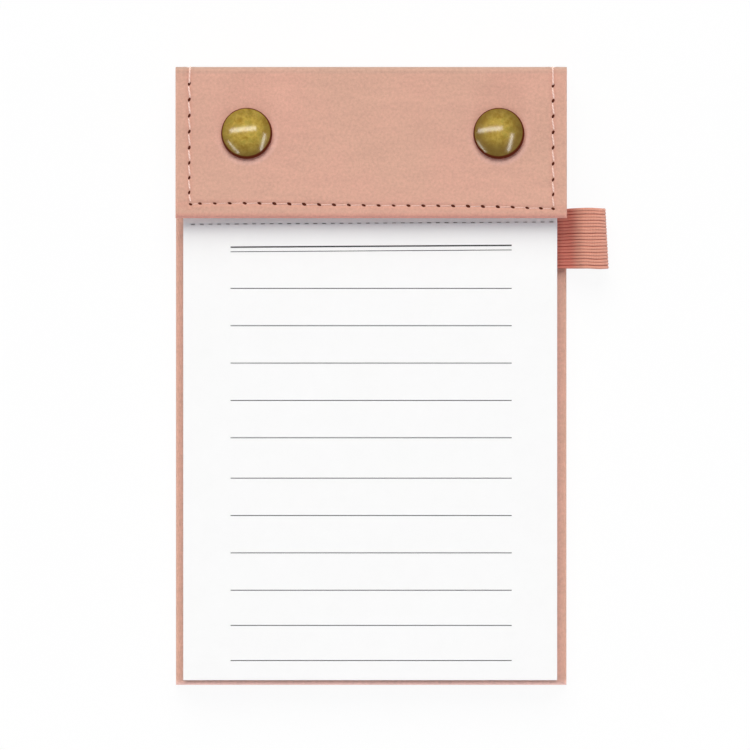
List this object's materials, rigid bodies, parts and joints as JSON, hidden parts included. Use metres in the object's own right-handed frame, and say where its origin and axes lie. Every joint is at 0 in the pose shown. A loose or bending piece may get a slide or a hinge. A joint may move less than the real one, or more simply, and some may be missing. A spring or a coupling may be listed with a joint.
{
  "type": "leather-covered notepad",
  "caption": "Refillable ruled memo pad in a leather cover whose stitched flap folds over the pad's head and closes with press studs; ribbed elastic pen loop at the side.",
  "frame": {"origin": "on the outer face of the back panel, in the middle of the cover's width and length", "axes": "+Z out of the writing side, +Y along the cover towards the fold, +X towards the pen loop"},
  "size_m": [0.108, 0.1548, 0.0154],
  "materials": {
    "leather": "fine matt grain, dusty pink",
    "lining": "fine matt grain, dusty pink",
    "board": "matt grey board",
    "thread": "twisted sewing thread, pale pink",
    "card": "matt grey card",
    "paper": "uncoated white writing paper",
    "glue": "dried padding glue",
    "print": "grey offset print",
    "antique_brass": "antiqued, polished high spots",
    "spring_wire": "bright drawn wire",
    "elastic": "ribbed woven elastic, dusty pink"
  },
  "bodies": {
    "cover": {"back_leather": "leather", "back_board": "board", "back_lining": "lining", "back_stitching": "thread", "pad_card": "card", "paper_pad": "paper", "pad_glue": "glue", "ruled_lines": "print", "snap_stud_left": "antique_brass", "snap_stud_right": "antique_brass", "stud_eyelet_left": "antique_brass", "stud_eyelet_right": "antique_brass", "pen_loop": "elastic"},
    "flap": {"flap_leather": "leather", "flap_board": "board", "flap_lining": "lining", "flap_stitching": "thread", "snap_cap_left": "antique_brass", "snap_cap_right": "antique_brass", "snap_socket_left": "antique_brass", "snap_socket_right": "antique_brass", "socket_spring_left": "spring_wire", "socket_spring_right": "spring_wire"}
  },
  "joints": [
    {"name": "flap_hinge", "type": "hinge", "parent": "cover", "child": "flap", "pos_m": [0, 0.0769, 0.0124], "axis": [-1, 0, 0], "range_deg": [0, 150]}
  ]
}
